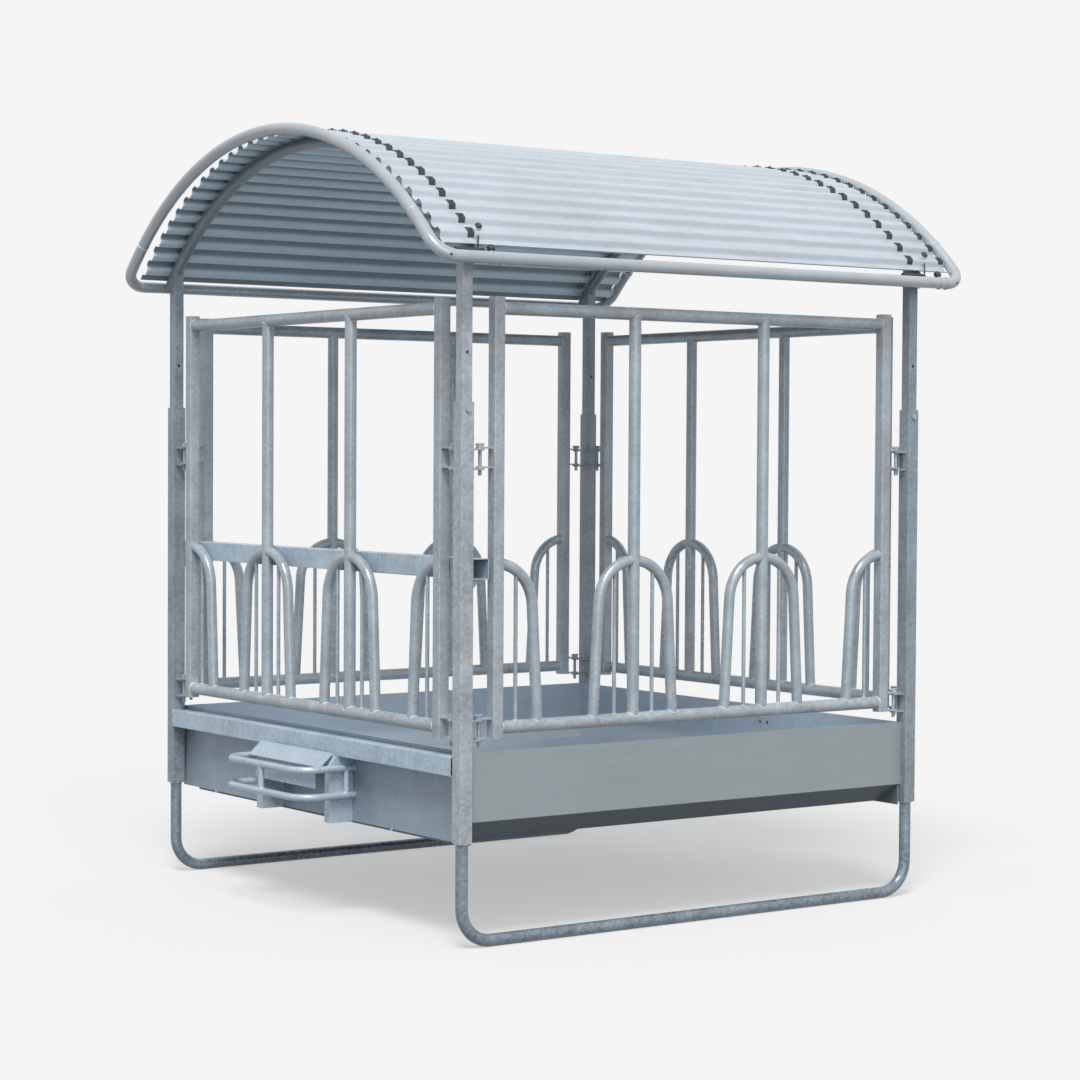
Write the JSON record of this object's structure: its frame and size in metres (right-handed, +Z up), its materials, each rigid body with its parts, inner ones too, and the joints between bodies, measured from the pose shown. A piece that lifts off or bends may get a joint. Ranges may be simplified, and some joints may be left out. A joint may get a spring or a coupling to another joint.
{
  "type": "covered square bale feeder",
  "caption": "Galvanised bale feeder with a sheet trough on skids, hinged feed fronts with arched bars, and a corrugated barrel roof on telescopic posts.",
  "frame": {"origin": "on the ground under the middle of the trough, midway between the four corner posts", "axes": "+Z up, +X along the roof's barrel away from the hitch, -Y towards the near long side"},
  "size_m": [2.3937, 2.2416, 2.8061],
  "materials": {
    "trough_sheet": "bare galvanised sheet, smooth and light grey",
    "frame_tube": "hot-dip galvanised",
    "sleeve_tube": "hot-dip galvanised, mottled",
    "fixing": "zinc plated",
    "roof_post": "hot-dip galvanised, mottled",
    "skid_tube": "hot-dip galvanised, mottled",
    "hitch": "hot-dip galvanised",
    "pin": "hot-dip galvanised",
    "front_frame": "hot-dip galvanised",
    "front_bar": "hot-dip galvanised",
    "roof_tube": "hot-dip galvanised",
    "roof_sheet": "bright galvanised corrugated sheet"
  },
  "bodies": {
    "base": {"trough_tray": "trough_sheet", "trough_rail_hitch": "frame_tube", "trough_rail_far": "frame_tube", "cross_beam": "frame_tube", "skid_near": "skid_tube", "skid_far": "skid_tube", "hitch_bracket": "hitch", "hitch_loop": "hitch", "sleeve_near": "sleeve_tube", "sleeve_right": "sleeve_tube", "sleeve_back": "sleeve_tube", "sleeve_left": "sleeve_tube", "clamp_screw_near": "fixing", "clamp_screw_right": "fixing", "clamp_screw_back": "fixing", "clamp_screw_left": "fixing", "gate_near_hinge_pin_lower": "pin", "gate_near_hinge_pin_upper": "pin", "gate_right_hinge_pin_lower": "pin", "gate_right_hinge_pin_upper": "pin", "gate_far_hinge_pin_lower": "pin", "gate_far_hinge_pin_upper": "pin", "gate_hitch_hinge_pin_lower": "pin", "gate_hitch_hinge_pin_upper": "pin"},
    "roof": {"roof_loop": "roof_tube", "roof_hoop_hitch": "roof_tube", "roof_hoop_far": "roof_tube", "roof_sheet": "roof_sheet", "roof_post_near": "roof_post", "roof_post_right": "roof_post", "roof_post_back": "roof_post", "roof_post_left": "roof_post"},
    "gate_near": {"gate_near_frame": "front_frame", "gate_near_arch_left": "front_bar", "gate_near_arch_right": "front_bar", "gate_near_half_arch_left": "front_bar", "gate_near_half_arch_right": "front_bar"},
    "latch_near_lower": {"gate_near_latch_pin_lower": "pin"},
    "latch_near_upper": {"gate_near_latch_pin_upper": "pin"},
    "gate_right": {"gate_right_frame": "front_frame", "gate_right_arch_left": "front_bar", "gate_right_arch_right": "front_bar", "gate_right_half_arch_left": "front_bar", "gate_right_half_arch_right": "front_bar"},
    "latch_right_lower": {"gate_right_latch_pin_lower": "pin"},
    "latch_right_upper": {"gate_right_latch_pin_upper": "pin"},
    "gate_far": {"gate_far_frame": "front_frame", "gate_far_arch_left": "front_bar", "gate_far_arch_right": "front_bar", "gate_far_half_arch_left": "front_bar", "gate_far_half_arch_right": "front_bar"},
    "latch_far_lower": {"gate_far_latch_pin_lower": "pin"},
    "latch_far_upper": {"gate_far_latch_pin_upper": "pin"},
    "gate_hitch": {"gate_hitch_frame": "front_frame", "gate_hitch_arch_left": "front_bar", "gate_hitch_arch_right": "front_bar", "gate_hitch_half_arch_left": "front_bar", "gate_hitch_half_arch_right": "front_bar"},
    "latch_hitch_lower": {"gate_hitch_latch_pin_lower": "pin"},
    "latch_hitch_upper": {"gate_hitch_latch_pin_upper": "pin"}
  },
  "joints": [
    {"name": "roof_height", "type": "slide", "parent": "base", "child": "roof", "axis": [0, 0, 1], "range_m": [-0.188, 0.188]},
    {"name": "gate_near_swing", "type": "hinge", "parent": "base", "child": "gate_near", "pos_m": [-0.935, -1, 0.6966], "axis": [0, 0, -1], "range_deg": [0, 110]},
    {"name": "latch_near_lower_lift", "type": "slide", "parent": "base", "child": "latch_near_lower", "axis": [0, 0, 1], "range_m": [0, 0.1]},
    {"name": "latch_near_upper_lift", "type": "slide", "parent": "base", "child": "latch_near_upper", "axis": [0, 0, 1], "range_m": [0, 0.1]},
    {"name": "gate_right_swing", "type": "hinge", "parent": "base", "child": "gate_right", "pos_m": [1, -0.935, 0.6966], "axis": [0, 0, -1], "range_deg": [0, 110]},
    {"name": "latch_right_lower_lift", "type": "slide", "parent": "base", "child": "latch_right_lower", "axis": [0, 0, 1], "range_m": [0, 0.1]},
    {"name": "latch_right_upper_lift", "type": "slide", "parent": "base", "child": "latch_right_upper", "axis": [0, 0, 1], "range_m": [0, 0.1]},
    {"name": "gate_far_swing", "type": "hinge", "parent": "base", "child": "gate_far", "pos_m": [0.935, 1, 0.6966], "axis": [0, 0, -1], "range_deg": [0, 110]},
    {"name": "latch_far_lower_lift", "type": "slide", "parent": "base", "child": "latch_far_lower", "axis": [0, 0, 1], "range_m": [0, 0.1]},
    {"name": "latch_far_upper_lift", "type": "slide", "parent": "base", "child": "latch_far_upper", "axis": [0, 0, 1], "range_m": [0, 0.1]},
    {"name": "gate_hitch_swing", "type": "hinge", "parent": "base", "child": "gate_hitch", "pos_m": [-1, 0.935, 0.6966], "axis": [0, 0, -1], "range_deg": [0, 110]},
    {"name": "latch_hitch_lower_lift", "type": "slide", "parent": "base", "child": "latch_hitch_lower", "axis": [0, 0, 1], "range_m": [0, 0.1]},
    {"name": "latch_hitch_upper_lift", "type": "slide", "parent": "base", "child": "latch_hitch_upper", "axis": [0, 0, 1], "range_m": [0, 0.1]}
  ]
}
